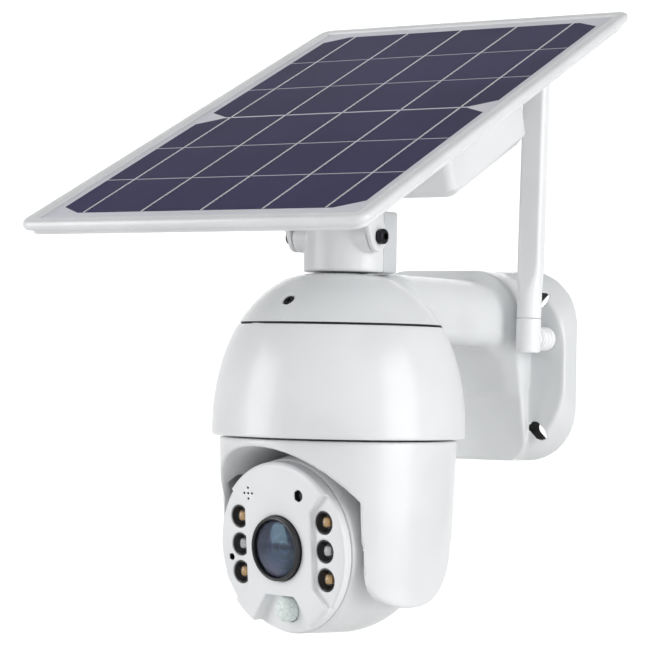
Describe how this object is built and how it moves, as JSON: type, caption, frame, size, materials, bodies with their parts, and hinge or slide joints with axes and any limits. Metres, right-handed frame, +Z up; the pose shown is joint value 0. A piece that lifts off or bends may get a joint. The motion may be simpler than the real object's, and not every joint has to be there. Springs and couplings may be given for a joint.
{
  "type": "security camera",
  "caption": "Wall-mounted outdoor security camera: a dome with a panning yoke and tilting camera head, under a tilting solar panel, with a battery box and an antenna.",
  "frame": {"origin": "middle of the wall plate's back face", "axes": "+Y into the wall, out of the mounting face; +Z up; +X to the right for someone facing the wall"},
  "size_m": [0.178, 0.2579, 0.3003],
  "materials": {
    "white_shell": "satin moulded plastic",
    "face_white": "smooth moulded plastic",
    "silver_housing": "satin light grey moulded plastic",
    "grey_shell": "satin moulded plastic",
    "frame_white": "satin rounded frame",
    "white_gloss": "smooth",
    "black_plastic": "satin black",
    "black_metal": "black oxide",
    "gasket": "matt black",
    "solar_cells": "dark blue cells under a clear sheet",
    "lens_glass": "coated glass",
    "lamp_amber": "clear dome over an amber chip",
    "lamp_clear": "clear dome over a white chip",
    "pir_white": "translucent white",
    "board": "green solder mask",
    "steel": "plated",
    "nylon": "natural nylon",
    "cell_wrap": "shrink sleeve"
  },
  "bodies": {
    "housing": {"upper_housing": "silver_housing", "cap_screw": "steel", "seam_gasket": "gasket", "dome_shell": "white_shell", "main_board": "board", "speaker": "black_plastic", "pan_motor": "steel", "pan_bearing": "nylon", "mast_front_shell": "white_shell", "mast_rear_shell": "grey_shell", "mast_bolt_left": "black_metal", "mast_bolt_right": "black_metal", "antenna_nut": "white_gloss"},
    "pan_pinion": {"pan_pinion": "nylon"},
    "yoke": {"yoke_shell": "white_shell", "yoke_rear_cover": "white_shell", "pan_gear": "nylon", "tilt_gear": "nylon", "tilt_bush": "nylon"},
    "head": {"head_shell": "white_shell", "face_plate": "face_white", "lens_barrel": "black_plastic", "lens_glass": "lens_glass", "lamp_board": "board", "lamp_left_upper": "lamp_amber", "lamp_left_middle": "lamp_clear", "lamp_left_lower": "lamp_amber", "lamp_right_upper": "lamp_amber", "lamp_right_middle": "lamp_clear", "lamp_right_lower": "lamp_amber", "pir_lens": "pir_white", "pir_sensor": "steel", "light_sensor": "black_plastic", "microphone": "steel", "sensor_board": "board", "image_sensor": "black_plastic", "tilt_motor": "steel", "tilt_pin": "steel"},
    "tilt_pinion": {"tilt_pinion": "nylon"},
    "panel": {"panel_frame": "frame_white", "solar_laminate": "solar_cells", "panel_back": "white_shell", "panel_bracket": "white_shell", "battery_box": "white_shell", "battery_cell_1": "cell_wrap", "battery_cell_2": "cell_wrap", "battery_cell_3": "cell_wrap", "battery_cell_4": "cell_wrap", "charge_board": "board"},
    "antenna": {"antenna_knuckle": "white_gloss", "antenna_blade": "white_gloss"}
  },
  "joints": [
    {"name": "pan", "type": "hinge", "parent": "housing", "child": "yoke", "pos_m": [0, -0.128, -0.0345], "axis": [0, 0, 1], "range_deg": [-165.3, 189.7]},
    {"name": "pan_pinion_turn", "type": "hinge", "parent": "housing", "child": "pan_pinion", "pos_m": [0, -0.0977, -0.0263], "axis": [0, 0, 1], "range_deg": [-760, 662]},
    {"name": "tilt", "type": "hinge", "parent": "yoke", "child": "head", "pos_m": [0, -0.128, -0.082], "axis": [0.9774, -0.2113, 0], "range_deg": [-9.8, 85.2]},
    {"name": "tilt_pinion_turn", "type": "hinge", "parent": "head", "child": "tilt_pinion", "pos_m": [0.00364, -0.11115, -0.08055], "axis": [0.9774, -0.2113, 0], "range_deg": [-24, 205]},
    {"name": "panel_tilt", "type": "hinge", "parent": "housing", "child": "panel", "pos_m": [0, -0.133, 0.058], "axis": [1, 0, 0], "range_deg": [-1, 35]},
    {"name": "antenna_swivel", "type": "hinge", "parent": "housing", "child": "antenna", "pos_m": [0.0487, -0.0314, 0.0135], "axis": [0, 1, 0], "range_deg": [-4, 89]}
  ],
  "couplings": [
    {"joint": "pan_pinion_turn", "follows": "pan", "ratio": -4},
    {"joint": "tilt_pinion_turn", "follows": "tilt", "ratio": 2.4}
  ]
}
